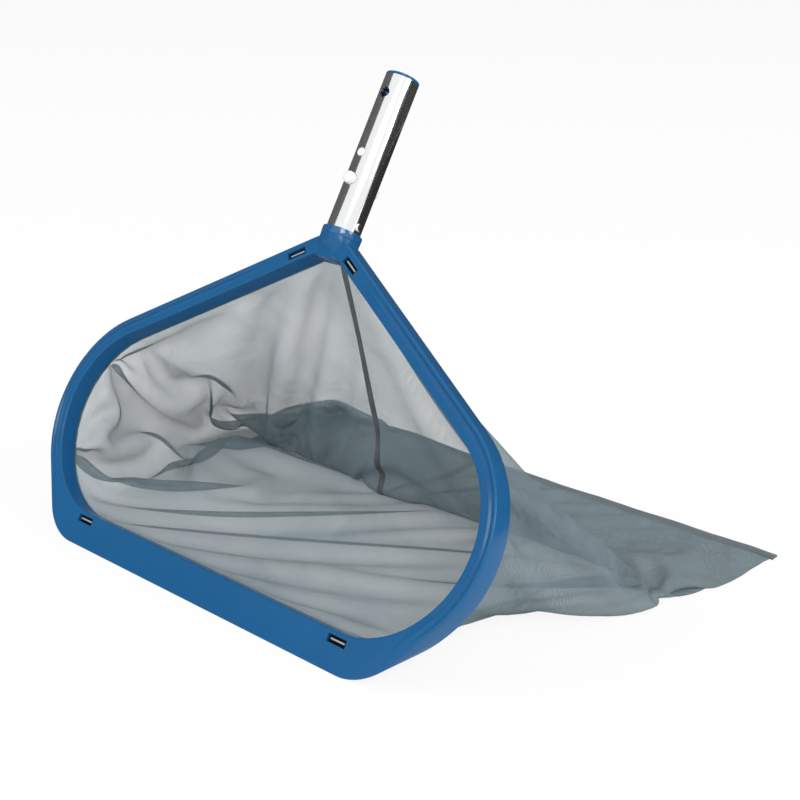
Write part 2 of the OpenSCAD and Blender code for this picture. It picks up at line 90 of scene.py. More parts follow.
under_run = SCOOP_DROP * math.sin(LEAN) + DEPTH * math.cos(LEAN)
under_rise = SCOOP_DROP * math.cos(LEAN) - DEPTH * math.sin(LEAN)
SOLE_MID = SOLE_CUT * (math.tan(LEAN) + under_run / under_rise) / 2
STAND = Matrix.Translation((0, -SOLE_MID, -SOLE_CUT)) @ Matrix.Rotation(math.pi / 2 - LEAN, 4, "X")


def standing(x, y, z):
    """The place of a flat frame point once the frame leans."""
    return STAND @ Vector((x, y, z))


# ---- Camera and light -------------------------------------------------------


def make_camera():
    """Camera from the front right, a little above the frame."""
    camera = bpy.data.objects.new("camera", bpy.data.cameras.new("camera"))
    bpy.context.scene.collection.objects.link(camera)
    bpy.context.scene.camera = camera
    camera.data.sensor_width = 36
    camera.data.lens = 58.94
    right = Vector((0.7443, 0.66774, 0.00278))
    down = Vector((0.2295, -0.25189, -0.94018))
    forward = Vector((-0.6271, 0.70046, -0.34077))
    place = Vector((0.7225, -0.5648, 0.4934))
    turn = Matrix((right, -down, -forward)).transposed().to_4x4()
    camera.matrix_world = Matrix.Translation(place) @ turn
    camera.data.clip_start = 0.01


def area_light(name, place, target, size, power):
    """Square soft box that looks at its target."""
    lamp = bpy.data.lights.new(name, "AREA")
    lamp.size = size
    lamp.energy = power
    light = bpy.data.objects.new(name, lamp)
    bpy.context.scene.collection.objects.link(light)
    light.location = place
    light.rotation_mode = "QUATERNION"
    light.rotation_quaternion = (Vector(target) - Vector(place)).to_track_quat("-Z", "Y")
    return light


def feed(tree, socket, value):
    """Gives a socket a value of its own or another node's output."""
    if isinstance(value, bpy.types.NodeSocket):
        tree.links.new(value, socket)
    else:
        socket.default_value = value


def math_node(tree, operation, *values):
    """Math node on numbers and other nodes' outputs. Returns its own output."""
    node = tree.nodes.new("ShaderNodeMath")
    node.operation = operation
    for socket, value in zip(node.inputs, values):
        feed(tree, socket, value)
    return node.outputs[0]


def new_material(name):
    """A new material, with its node tree."""
    material = bpy.data.materials.new(name)
    material.use_nodes = True
    return material, material.node_tree


def make_world(level):
    """White to the camera and in gloss, and a plain level on diffuse surfaces."""
    world = bpy.data.worlds.new("studio")
    bpy.context.scene.world = world
    world.use_nodes = True
    tree = world.node_tree
    background = tree.nodes["Background"]
    background.inputs["Color"].default_value = (1, 1, 1, 1)
    rays = tree.nodes.new("ShaderNodeLightPath").outputs
    seen = math_node(tree, "MAXIMUM", rays["Is Camera Ray"], rays["Is Transmission Ray"])
    seen_or_glossy = math_node(tree, "MAXIMUM", seen, rays["Is Glossy Ray"])
    strength = tree.nodes.new("ShaderNodeMix")
    strength.inputs["A"].default_value = level
    strength.inputs["B"].default_value = 1
    tree.links.new(seen_or_glossy, strength.inputs["Factor"])
    tree.links.new(strength.outputs["Result"], background.inputs["Strength"])


def make_card(name, grey, width, height, place, facing):
    """Dark card beside the stage, seen in gloss only."""
    bm = bmesh.new()
    bmesh.ops.create_grid(bm, x_segments=1, y_segments=1, size=0.5)
    bmesh.ops.scale(bm, vec=(width, height, 1), verts=bm.verts)
    turn = Vector(facing).to_track_quat("Z", "Y").to_matrix().to_4x4()
    bmesh.ops.transform(bm, matrix=Matrix.Translation(place) @ turn, verts=bm.verts)
    card = object_from(bm, name)
    material, tree = new_material(name)
    shader = tree.nodes["Principled BSDF"]
    shader.inputs["Base Color"].default_value = (*grey, 1)
    shader.inputs["Specular IOR Level"].default_value = 0
    card.data.materials.append(material)
    card.visible_camera = card.visible_diffuse = card.visible_shadow = False
    card.visible_transmission = card.visible_volume_scatter = False


def make_floor(shown, through):
    """Pale floor, which keeps the object's shadow and is mostly white to the camera.

    It is white by the share shown, and by a part of that where it is seen through cloth."""
    bm = bmesh.new()
    bmesh.ops.create_grid(bm, x_segments=1, y_segments=1, size=30)
    floor = object_from(bm, "floor")
    material, tree = new_material("floor_white")
    nodes, links = tree.nodes, tree.links
    nodes.clear()
    out = nodes.new("ShaderNodeOutputMaterial")
    matt = nodes.new("ShaderNodeBsdfDiffuse")
    matt.inputs["Color"].default_value = (0.9, 0.9, 0.9, 1)
    white = nodes.new("ShaderNodeEmission")
    rays = nodes.new("ShaderNodeLightPath").outputs
    bare = math_node(tree, "LESS_THAN", rays["Transparent Depth"], 0.5)
    veil = math_node(tree, "MULTIPLY_ADD", bare, 1 - through, through)
    straight = math_node(tree, "MULTIPLY", rays["Is Camera Ray"], veil)
    mix = nodes.new("ShaderNodeMixShader")
    links.new(math_node(tree, "MULTIPLY", straight, shown), mix.inputs["Fac"])
    links.new(matt.outputs[0], mix.inputs[1])
    links.new(white.outputs[0], mix.inputs[2])
    links.new(mix.outputs[0], out.inputs["Surface"])
    floor.data.materials.append(material)


# ---- Mesh tools -------------------------------------------------------------


def object_from(bm, name):
    """A new object with a bmesh's mesh."""
    mesh = bpy.data.meshes.new(name)
    bm.to_mesh(mesh)
    bm.free()
    made = bpy.data.objects.new(name, mesh)
    bpy.context.scene.collection.objects.link(made)
    return made


def smooth(piece, angle=35):
    """Smooth shading, with the edges sharper than the angle kept."""
    piece.data.shade_smooth()
    piece.data.set_sharp_from_angle(angle=math.radians(angle))


def settle(piece):
    """Applies a piece's modifiers to its mesh."""
    seen = piece.evaluated_get(bpy.context.evaluated_depsgraph_get())
    mesh = bpy.data.meshes.new_from_object(seen)
    piece.modifiers.clear()
    piece.data = mesh


def combine(piece, other, operation):
    """Adds or cuts another object, which is then removed."""
    modifier = piece.modifiers.new("combine", "BOOLEAN")
    modifier.operation = operation
    modifier.solver = "EXACT"
    modifier.object = other
    settle(piece)
    bpy.data.objects.remove(other)


def finished(piece, material, body, slot, *nodes):
    """Gives a piece its finish and hangs it on its body in place of CAD nodes."""
    piece.data.materials.clear()
    piece.data.materials.append(material)
    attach(piece, body)
    if nodes:
        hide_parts(*nodes)
    return piece


def face_out(bm):
    """Turns all faces outwards."""
    bmesh.ops.recalc_face_normals(bm, faces=bm.faces)


# ---- Outlines ---------------------------------------------------------------

# Steps round each corner and along each side of the outline
BASE_SEG, SIDE_SEG, SHOULDER_SEG, ARM_SEG, PEAK_SEG, LOW_SEG = 16, 6, 24, 20, 12, 31


def corner(before, at, after, radius):
    """Centre, radius, first angle and turn of a rounded corner of a path."""
    into = (at - before).normalized()
    out = (after - at).normalized()
    first = math.atan2(into.y, into.x)
    turn = (math.atan2(out.y, out.x) - first + 3 * math.pi) % (2 * math.pi) - math.pi
    centre = at - into * radius * math.tan(turn / 2) + Vector((-into.y, into.x)) * radius
    return centre, radius, first - math.pi / 2, turn


def arcs_of(half, bottom, low_r, top_r):
    """The five corners of an outline, counter-clockwise from the lower right."""
    sharp = [
        Vector((half, bottom)),
        Vector((SHOULDER_HALF, SHOULDER_H)),
        Vector((0, PEAK_H)),
        Vector((-SHOULDER_HALF, SHOULDER_H)),
        Vector((-half, bottom)),
    ]
    radii = [low_r, SHOULDER_R, top_r, SHOULDER_R, low_r]
    return [
        corner(sharp[k - 1], sharp[k], sharp[(k + 1) % 5], radii[k])
        for k in range(5)
    ]


def outline(arcs, inset):
    """Points of an outline moved inwards, counter-clockwise from the lower right corner."""
    arc_seg = [BASE_SEG, SHOULDER_SEG, PEAK_SEG, SHOULDER_SEG, BASE_SEG]
    run_seg = [SIDE_SEG, ARM_SEG, ARM_SEG, SIDE_SEG, LOW_SEG]

    def on_arc(k, share):
        centre, radius, first, turn = arcs[k % 5]
        angle = first + share * turn
        return centre + (radius - inset) * Vector((math.cos(angle), math.sin(angle)))

    points = []
    for k in range(5):
        points += [on_arc(k, n / arc_seg[k]) for n in range(arc_seg[k] + 1)]
        start, end = on_arc(k, 1), on_arc(k + 1, 0)
        points += [start.lerp(end, n / run_seg[k]) for n in range(1, run_seg[k])]
    return points


FRONT = arcs_of(SCOOP_HALF, 0, SCOOP_R, PEAK_R)
BACK = arcs_of(BASE_HALF, SCOOP_DROP, BASE_R, PEAK_R)


def ramp(value, low, high):
    """Smooth step from 0 at low to 1 at high."""
    share = max(0, min(1, (value - low) / (high - low)))
    return share * share * (3 - 2 * share)


def edges_of(bm, ring):
    """The edges round a ring of vertices."""
    return [bm.edges.get((ring[k - 1], ring[k])) for k in range(len(ring))]


def add_ring(bm, points):
    """Closed ring of vertices with its edges."""
    ring = [bm.verts.new(p) for p in points]
    for k in range(len(ring)):
        bm.edges.new((ring[k - 1], ring[k]))
    return ring


def extend(bm, ring, points):
    """Extrudes a ring's edges to new points, and returns the new ring."""
    made = bmesh.ops.extrude_edge_only(bm, edges=edges_of(bm, ring))["geom"]
    fresh = {g for g in made if isinstance(g, bmesh.types.BMVert)}
    twins = [next(e.other_vert(v) for e in v.link_edges if e.other_vert(v) in fresh) for v in ring]
    for twin, point in zip(twins, points):
        twin.co = point
    return twins


def loft(bm, sections):
    """Skin through rings of points."""
    rings = [add_ring(bm, sections[0])]
    for points in sections[1:]:
        rings.append(extend(bm, rings[-1], points))
    return rings


# ---- Frame moulding ---------------------------------------------------------

# The face from its outer edge inwards, where the groove runs: inset and depth in mm
FACE_GROOVE = (
    (0, 0), (2.3, 0), (2.8, 0.3), (3.3, 1.2), (4.0, 1.7), (4.4, 1.65), (4.8, 1.4),
    (6.2, 0.35), (6.7, 0.15), (7.2, 0.3), (7.8, 0.9),
)
FACE_STEP = FACE_GROOVE[-1][1] * MM
# The rim's section round from its outer edge: share of the back outline, inset, depth
# where the face groove runs, and depth where the groove has faded out
RIM_SECTION = (
    *((0, inset * MM, deep * MM, 0) for inset, deep in FACE_GROOVE),
    (1, RIM_W, FACE_STEP, 0),
    (1, RIM_W, INNER_DEEP, INNER_DEEP),
    (1, RIM_W - INNER_WALL, INNER_DEEP, INNER_DEEP),
    (1, RIM_W - INNER_WALL, FACE_T, FACE_T),
    (0, OUTER_WALL, FACE_T, FACE_T),
    (1, OUTER_WALL, DEPTH, DEPTH),
    (1, 0, DEPTH, DEPTH),
)
GROOVE_LOW, GROOVE_HIGH, GROOVE_FADE = 58 * MM, 268 * MM, 16 * MM


def groove_share(y):
    """How much of the face groove there is at height y of the frame."""
    low = ramp(y, GROOVE_LOW - GROOVE_FADE, GROOVE_LOW + GROOVE_FADE)
    return low * (1 - ramp(y, GROOVE_HIGH - GROOVE_FADE, GROOVE_HIGH + GROOVE_FADE))


def rim_body():
    """The rim as a ring of section loops, its long edges rounded."""
    bm = bmesh.new()
    sections = []
    for back_share, inset, deep, flat in RIM_SECTION:
        arcs = BACK if back_share else FRONT
        points = []
        for p in outline(arcs, inset):
            share = groove_share(p.y)
            points.append((p.x, p.y, -deep * share - flat * (1 - share)))
        sections.append(points)
    rings = loft(bm, sections)
    inner = next(k for k, row in enumerate(RIM_SECTION) if row[:2] == (1, RIM_W))
    for ring in (rings[0], rings[inner], rings[-1]):
        for edge in edges_of(bm, ring):
            edge.seam = True
    extend(bm, rings[-1], sections[0])
    bmesh.ops.remove_doubles(bm, verts=bm.verts, dist=1e-6)
    face_out(bm)
    bmesh.ops.bevel(
        bm, geom=[e for e in bm.edges if e.seam], offset=RIM_ROUND, segments=4, affect="EDGES",
        profile=0.5, material=-1, offset_type="OFFSET", clamp_overlap=True,
    )
    for edge in bm.edges:
        edge.seam = False
    return object_from(bm, "frame_moulding")


# Neck loops from the top down, in mm: height, half width across, half width through
NECK_LOOPS = (
    (310.0, 16.45, 16.45),
    (307.6, 16.45, 16.45),
    (305.0, 16.9, 15.6),
    (302.5, 18.0, 13.6),
    (299.5, 20.0, 11.4),
    (296.0, 22.6, 10.0),
    (291.0, 26.0, 9.2),
)
NECK_STEPS = 64
# Between these heights the neck's middle moves from the tube's axis to the frame's own
NECK_HIGH, NECK_LOW = 307, 296


def neck_body():
    """Round neck that fairs down into the two arms."""
    bm = bmesh.new()
    sections = []
    for y, across, through in NECK_LOOPS:
        middle = TUBE_Z + TUBE_BACK * ramp(-y, -NECK_HIGH, -NECK_LOW)
        points = []
        for k in range(NECK_STEPS):
            angle = 2 * math.pi * k / NECK_STEPS
            points.append((
                across * MM * math.cos(angle),
                y * MM,
                middle + through * MM * math.sin(angle),
            ))
        sections.append(points)
    rings = loft(bm, sections)
    bmesh.ops.edgenet_fill(bm, edges=edges_of(bm, rings[0]))
    bmesh.ops.edgenet_fill(bm, edges=edges_of(bm, rings[-1]))
    face_out(bm)
    return object_from(bm, "neck")


def block(name, size, place):
    """Block with a transform for its place, used as a cutter."""
    bm = bmesh.new()
    bmesh.ops.create_cube(bm, size=1)
    bmesh.ops.transform(bm, matrix=place @ Matrix.Diagonal((*size, 1)), verts=bm.verts)
    return object_from(bm, name)


ARM_ANGLE = math.atan2(PEAK_H - SHOULDER_H, SHOULDER_HALF)


def latch_places():
    """Node name and flat place of each latch, with y inwards from the back outline."""
    high_y = PEAK_H - HIGH_LATCH_X * math.tan(ARM_ANGLE)
    for side, hand in ((-1, "left"), (1, "right")):
        yield f"latch_low_{hand}", Matrix.Translation((side * LOW_LATCH_X, SCOOP_DROP, 0))
        turn = Matrix.Rotation(math.pi - side * ARM_ANGLE, 4, "Z")
        yield f"latch_high_{hand}", Matrix.Translation((side * HIGH_LATCH_X, high_y, 0)) @ turn


def make_moulding(material):
    """The front frame, with its neck and the four latch windows."""
    moulding = rim_body()
    combine(moulding, neck_body(), "UNION")
    for name, place in latch_places():
        middle = place @ Matrix.Translation((0, LATCH_MID, 0))
        combine(moulding, block("cutter", (WINDOW_L, WINDOW_W, 3 * FACE_T), middle), "DIFFERENCE")
    moulding.data.transform(STAND)
    for vert in moulding.data.vertices:
        vert.co.z = max(vert.co.z, 0)
    smooth(moulding, 32)
    return finished(moulding, material, "head", "blue_plastic", "front_frame")


# ---- Tube, collar and clip --------------------------------------------------


def lathe(name, profile, steps=96, rounding=0.3 * MM):
    """Turns a closed profile of (radius, height) round the tube's axis."""
    bm = bmesh.new()
    add_ring(bm, [(r, y, TUBE_Z) for r, y in profile])
    bmesh.ops.spin(
        bm, geom=bm.verts[:] + bm.edges[:], cent=(0, 0, TUBE_Z), axis=(0, 1, 0),
        angle=2 * math.pi, steps=steps, use_merge=True,
    )
    bmesh.ops.remove_doubles(bm, verts=bm.verts, dist=1e-6)
    face_out(bm)
    sharp = [e for e in bm.edges if len(e.link_faces) == 2 and e.calc_face_angle() > math.radians(50)]
    bmesh.ops.bevel(
        bm, geom=sharp, offset=rounding, segments=3, affect="EDGES", profile=0.5,
        material=-1, offset_type="OFFSET", clamp_overlap=True,
    )
    return object_from(bm, name)


def rod(name, radius, start, end, steps=48):
    """Plain round cutter between two flat points."""
    bm = bmesh.new()
    start, end = Vector(start), Vector(end)
    turn = (end - start).to_track_quat("Z", "Y").to_matrix().to_4x4()
    place = Matrix.Translation((start + end) / 2) @ turn
    bmesh.ops.create_cone(
        bm, cap_ends=True, segments=steps, radius1=radius, radius2=radius,
        depth=(end - start).length, matrix=place,
    )
    return object_from(bm, name)


def make_tube(material):
    """Polished tube with its cross hole and the holes of the clip's buttons."""
    bore = TUBE_R - TUBE_WALL
    profile = [(bore, TUBE_Y), (TUBE_R, TUBE_Y), (TUBE_R, TUBE_END), (bore, TUBE_END)]
    tube = lathe("pole_tube", profile, steps=144)
    holes = (CROSS_Y, CROSS_R), (BUTTON_Y, BUTTON_R + HOLE_GAP), (NUB_Y, NUB_R + HOLE_GAP)
    for y, radius in holes:
        ends = (0, y, TUBE_Z - HOLE_REACH), (0, y, TUBE_Z + HOLE_REACH)
        combine(tube, rod("cutter", radius, *ends), "DIFFERENCE")
    tube.data.transform(STAND)
    smooth(tube, 30)
    return finished(tube, material, "head", "tube_metal", "handle_tube")


def make_collar(material):
    """Blue ring round the tube's foot."""
    inner, outer = TUBE_R + SEAT_GAP, TUBE_R + NECK_WALL + COLLAR_PROUD
    low = NECK_TOP + SEAT_GAP
    high = low + COLLAR_H
    collar = lathe(
        "tube_collar", [(inner, low), (outer, low), (outer, high), (inner, high)], rounding=0.7 * MM
    )
    collar.data.transform(STAND)
    smooth(collar)
    return finished(collar, material, "head", "blue_plastic", "neck_collar")


def make_plug(material):
    """End plug: a flange on the tube's end and a sleeve inside it."""
    sleeve = TUBE_R - TUBE_WALL - SEAT_GAP
    bore = sleeve - PLUG_WALL
    profile = [
        (bore, TUBE_END - PLUG_DEEP), (sleeve, TUBE_END - PLUG_DEEP), (sleeve, TUBE_END),
        (TUBE_R, TUBE_END), (TUBE_R, TUBE_END + PLUG_T), (bore, TUBE_END + PLUG_T),
    ]
    plug = lathe("tube_plug", profile, rounding=0.5 * MM)
    plug.data.transform(STAND)
    smooth(plug)
    return finished(plug, material, "head", "blue_plastic", "end_plug")


def make_rivet(hand, side, material):
    """Rivet with a low domed head on one side of the tube."""
    bm = bmesh.new()
    bmesh.ops.create_uvsphere(bm, u_segments=32, v_segments=16, radius=1)
    head = Matrix.Diagonal((RIVET_DOME, RIVET_R, RIVET_R, 1))
    seat = Matrix.Translation((side * (TUBE_R - RIVET_SUNK), RIVET_Y, TUBE_Z))
    bmesh.ops.transform(bm, matrix=seat @ head, verts=bm.verts)
    rivet = object_from(bm, f"rivet_head_{hand}")
    rivet.data.transform(STAND)
    smooth(rivet)
    return finished(rivet, material, "head", "tube_metal", f"rivet_{hand}")


def dome(bm, radius, low, straight, high, y, steps=10):
    """Round button towards +z: a straight side and a domed tip."""
    profile = [(0, low), (radius, low), (radius, straight)]
    for k in range(1, steps):
        angle = math.pi / 2 * k / steps
        profile.append((radius * math.cos(angle), straight + (high - straight) * math.sin(angle)))
    profile.append((0, high))
    verts = [bm.verts.new((r, y, TUBE_Z + z)) for r, z in profile]
    edges = [bm.edges.new(pair) for pair in zip(verts, verts[1:])]
    bmesh.ops.spin(
        bm, geom=verts + edges, cent=(0, y, TUBE_Z), axis=(0, 0, 1), angle=2 * math.pi,
        steps=4 * steps, use_merge=True,
    )


def make_clip_arm(hand, side, body, material):
    """One arm of the snap clip: a strip with a domed button and a small nub."""
    bore = TUBE_R - TUBE_WALL
    root = math.sqrt((bore - STRIP_GAP) ** 2 - (STRIP_W / 2) ** 2) - STRIP_T / 2
    place = Matrix.Translation((0, BOW_Y - STRIP_L / 2, TUBE_Z + root))
    size = Matrix.Diagonal((STRIP_W, STRIP_L, STRIP_T, 1))
    bm = bmesh.new()
    bmesh.ops.create_cube(bm, size=1)
    bmesh.ops.transform(bm, matrix=place @ size, verts=bm.verts)
    bmesh.ops.bevel(
        bm, geom=bm.edges[:], offset=0.5 * MM, segments=3, affect="EDGES", profile=0.5, material=-1
    )
    dome(bm, BUTTON_R, root, TUBE_R + BUTTON_SIDE, TUBE_R + BUTTON_TIP, BUTTON_Y)
    dome(bm, NUB_R, root, TUBE_R + NUB_SIDE, TUBE_R + NUB_TIP, NUB_Y)
    bmesh.ops.remove_doubles(bm, verts=bm.verts, dist=1e-6)
    face_out(bm)
    if side < 0:
        flip = Matrix.Translation((0, 0, 2 * TUBE_Z)) @ Matrix.Diagonal((1, 1, -1, 1))
        bmesh.ops.transform(bm, matrix=flip, verts=bm.verts)
        bmesh.ops.reverse_faces(bm, faces=bm.faces)
    arm = object_from(bm, f"snap_button_{hand}")
    arm.data.transform(STAND)
    smooth(arm)
    return finished(arm, material, body, "clip_plastic", f"clip_arm_{hand}")


# Latch hook and the ridge on it, in mm: length, width, low and high
LATCH_STEPS = ((17.4, 5.4, -17.0, -2.6), (13.6, 1.3, -2.6, -1.3))
RIDGE_FOOT = -2.5 * MM


def make_latch(node, place, dark, pale):
    """Latch: a near-black hook that fills its window as painted shade, with a pale ridge along it as
    a painted highlight streak.
    """
    bm = bmesh.new()
    for length, width, low, high in LATCH_STEPS:
        made = bmesh.ops.create_cube(bm, size=1)["verts"]
        seat = Matrix.Translation((0, LATCH_MID, (low + high) / 2 * MM))
        size = Matrix.Diagonal((length * MM, width * MM, (high - low) * MM, 1))
        bmesh.ops.transform(bm, matrix=seat @ size, verts=made)
    bmesh.ops.bevel(
        bm, geom=bm.edges[:], offset=0.3 * MM, segments=2, affect="EDGES", profile=0.5, material=-1
    )
    # Faces below the ridge's foot take the black painted shade, those above it the pale painted
    # highlight
    for face in bm.faces:
        face.material_index = int(face.calc_center_median().z > RIDGE_FOOT)
    latch = object_from(bm, node + "_hook")
    latch.data.transform(STAND @ place)
    smooth(latch)
    raised = [face.index for face in latch.data.polygons if face.material_index]
    finished(latch, dark, "head", "latch_plastic", node)
    latch.data.materials.append(pale)
    for k in raised:
        latch.data.polygons[k].material_index = 1
    return latch


# ---- Bag --------------------------------------------------------------------

BAG_ROUND, BAG_ROWS = 216, 60
BAG_END_ROUND = 4 * BAG_END_HALF
TAPE_HALF, TAPE_T = 3.6 * MM, 1 * MM
# Rows held from the slot to behind the clamping ring, in mm: inset and depth in the frame
HELD_ROWS = ((9.0, -16.5), (13.4, -16.5), (13.6, -18.2), (13.8, -19.8))
HELD_STEP, CUT_ROW = 3 * MM, 6 * MM
# Where the mouth is gathered: share of the way round from the peak, cloth taken up, and
# whether the fold stands into the bag or out of it
GATHERS = ((0.22, 34 * MM, -1), (0.70, 44 * MM, -1), (0.775, 50 * MM, 1))
GATHER_RUN = 9 * MM
MOUTH_STEPS = 20000
# The folds spread over this many rows, from a steep share of the cloth to a flat one
FAN_ROWS, FOLD_STEEP, FOLD_FLAT = 20, 0.5, 0.36
# Where the sides come down to the floor in mm, from the low corner to the widest point
LEFT_FEET = ((178, 62), (182, 112), (205, 150), (232, 205), (268, 247))
RIGHT_FEET = ((176, 58), (177, 100), (183, 134), (219, 177), (254, 232), (287, 277))
FLOOR_GAP, LAYER_GAP, LAND_RUN, LOW_HALF = 1.0 * MM, 1.4 * MM, 25 * MM, 178 * MM
# The line behind the frame where the top layer comes down: its place and half its width,
# then how far it is moved to the left, bent back and turned in again at the sides
TOP_FOOT, TOP_HALF, TOP_SHIFT, TOP_BEND, TOP_TURN = (
    252 * MM, 268 * MM, 24 * MM, 22 * MM, 31 * MM
)
# The part of the bottom and top layers that rests on the floor by its own weight
REST_FROM, REST_TO = -0.62, 1.45
# The far left corner is tucked under from here on, and the right edge stays a soft fold
TUCK_X, SIDE_FOLD, SIDE_RUN, EDGE_RUN = 212 * MM, 11 * MM, 0.15, 0.08
# Spare length of each layer, and what the far right corner and the left side add to it
TOP_SLACK, LOW_SLACK, CORNER_SLACK, LEFT_SLACK, CORNER_FROM = 1.01, 1.02, 0.25, 0.08, 0.8
HEM_IN, HEM_WAVE = 2 * MM, 3 * MM
# The folds stand towards or away from this height over the floor
HEART_Z = 50 * MM
# Cloth: how far each pass puts a pair right, by rows and columns apart, and how it settles
CLOTH = {
    "links": (
        (0, 1, 1.0), (1, 0, 1.0), (1, 1, 0.5), (1, -1, 0.5), (0, 2, 0.5), (2, 0, 0.5),
    ),
    "ripple": 7 * MM, "time": 0.5, "passes": 4, "drag": 0.1, "grip": 0.6, "weight": 0.25,
}
SETTLE_STEPS = 100
# The top layer reaches this part of the way from its middle to the sides, and behind the
# line where it comes down, the cloth under it stays this close to the floor
UPPER_PART, UNDER_GAP = 0.97, 0.6 * MM
# How fine the unevenness is, and where it is stronger or fainter
RIPPLE_SCALE, CRUMPLED_X, CRUMPLED, RIPPLE_FLAT_Z = 22, -60 * MM, 1.5, 8 * MM
# Noise vectors start from the clock unless they are given a seed
RIPPLE_SEED = 1795517852

Mouth = namedtuple("Mouth", "path whole cut_round shares low side")


def along(path, share):
    """Point at a share of a polyline's length."""
    steps = [(b - a).length for a, b in zip(path, path[1:])]
    wanted = share * sum(steps)
    for a, b, step in zip(path, path[1:], steps):
        if wanted <= step:
            return a.lerp(b, wanted / step)
        wanted -= step
    return path[-1].copy()


def round_mouth(inset):
    """The mouth as a closed path in the frame's plane, from the peak to the right."""
    path = [Vector(p) for p in outline(BACK, inset * MM)]
    top = max(range(len(path)), key=lambda k: path[k].y - abs(path[k].x))
    path = path[top::-1] + path[:top:-1]
    return path + [path[0]]


def columns(whole):
    """Shares of the way round for evenly cut cloth, which bunches at the gathers."""
    taken = sum(extra for _, extra, _ in GATHERS)
    shares, k = [], 0
    for step in range(MOUTH_STEPS + 1):
        way = step / MOUTH_STEPS
        passed = way * whole
        for middle, extra, _ in GATHERS:
            into = (way - middle) * whole / GATHER_RUN + 0.5
            passed += extra * min(1, max(0, into))
        while k < BAG_ROUND and passed >= k / BAG_ROUND * (whole + taken):
            shares.append(way)
            k += 1
    return shares, whole + taken


def fold_of(k, n, mouth):
    """How far the cloth at column k and row n stands out in the fold of a gather."""
    passed, before = k / BAG_ROUND * mouth.cut_round, 0.0
    fan = min(1, n / FAN_ROWS)
    for middle, extra, sign in GATHERS:
        centre = middle * mouth.whole + before + extra / 2
        base = (extra + GATHER_RUN) * (1 + fan)
        into = (passed - centre) / base + 0.5
        if 0 < into < 1:
            steep = FOLD_STEEP - (FOLD_STEEP - FOLD_FLAT) * fan
            tall = extra * steep * min(1, n / 3) * (1 - n / BAG_ROWS) ** 0.7
            return sign * tall * math.sin(into * math.pi) ** 2
        before += extra
    return 0.0


def foot_of(m, mouth):
    """Where the cloth that leaves the mouth at m comes down to the floor."""
    low, side = mouth.low, mouth.side
    if m.z > side.z:
        near = abs(m.x) / side.x
        x = m.x * TOP_HALF / side.x - TOP_SHIFT * (1 - near)
        y = TOP_FOOT + TOP_BEND * near ** 2 - TOP_TURN * near ** 6
        return Vector((x, y, FLOOR_GAP + LAYER_GAP))
    rise = (m.z - low.z) / (side.z - low.z)
    feet = [Vector((min(abs(m.x), LOW_HALF), m.y + LAND_RUN, FLOOR_GAP))]
    side_feet = RIGHT_FEET if m.x > 0 else LEFT_FEET
    feet += [Vector((x * MM, y * MM, FLOOR_GAP)) for x, y in side_feet]
    foot = along(feet, rise) if rise > 0.02 else feet[0]
    foot.x = math.copysign(foot.x, m.x)
    return foot


def end_of(part):
    """Where the cloth at part of the way round ends at the hem, and how slack it is.

    The top layer is part -1 to 1, and the bottom layer goes on from both sides."""
    top = abs(part) <= 1
    across = part if top else math.copysign(2, part) - part
    x = across * BAG_END_HALF
    apart = 0.5 * min(1, abs(abs(part) - 1) / EDGE_RUN) * (1 if top else -1)
    z = FLOOR_GAP + LAYER_GAP * (0.5 + apart)
    slack = TOP_SLACK if top else LOW_SLACK
    if across > CORNER_FROM:
        slack += CORNER_SLACK * (across - CORNER_FROM)
    if across < 0:
        z += 2 * LAYER_GAP * min(1, -across * 3)
        slack += LEFT_SLACK * -across
    if x < -TUCK_X:
        x = -2 * TUCK_X - x
        z = FLOOR_GAP + LAYER_GAP * (0.5 - apart)
    wave = HEM_WAVE * noise.noise(Vector((across * 5, 3, 0)))
    return Vector((x, BAG_REACH - HEM_W / 2 - HEM_IN + wave, z)), slack


def held_row(inset, depth, shares):
    """A row of the cloth where the frame holds it."""
    path = round_mouth(inset)
    flat = [along(path, share) for share in shares]
    return [standing(p.x, p.y, depth * MM) for p in flat]


def bag_mouth():
    """The mouth's path, its length as it is and as cut, its columns, low middle and side."""
    path = round_mouth(HELD_ROWS[-1][0])
    whole = sum((b - a).length for a, b in zip(path, path[1:]))
    shares, cut_round = columns(whole)
    row = held_row(*HELD_ROWS[-1], shares)
    return Mouth(path, whole, cut_round, shares, row[BAG_ROUND // 2], max(row, key=lambda m: m.x))


def leaves(k, fan, mouth):
    """Where column k leaves the mouth, spread from the gathers by a share of its fan."""
    share = mouth.shares[k]
    spot = along(mouth.path, share + (k / BAG_ROUND - share) * fan)
    return standing(spot.x, spot.y, HELD_ROWS[-1][1] * MM)


def rippled(point, n, turn):
    """A point of row n moved a little, more so on the crumpled side."""
    x, y, z = (RIPPLE_SCALE * c for c in point)
    shift = noise.noise_vector((x, y, z + 5)) * CLOTH["ripple"] * min(1, n / 6)
    shift *= min(CRUMPLED if point.x < CRUMPLED_X else 1, 0.05 + abs(turn) / 16)
    return point + (shift if point.z > RIPPLE_FLAT_Z else shift * 0.2)


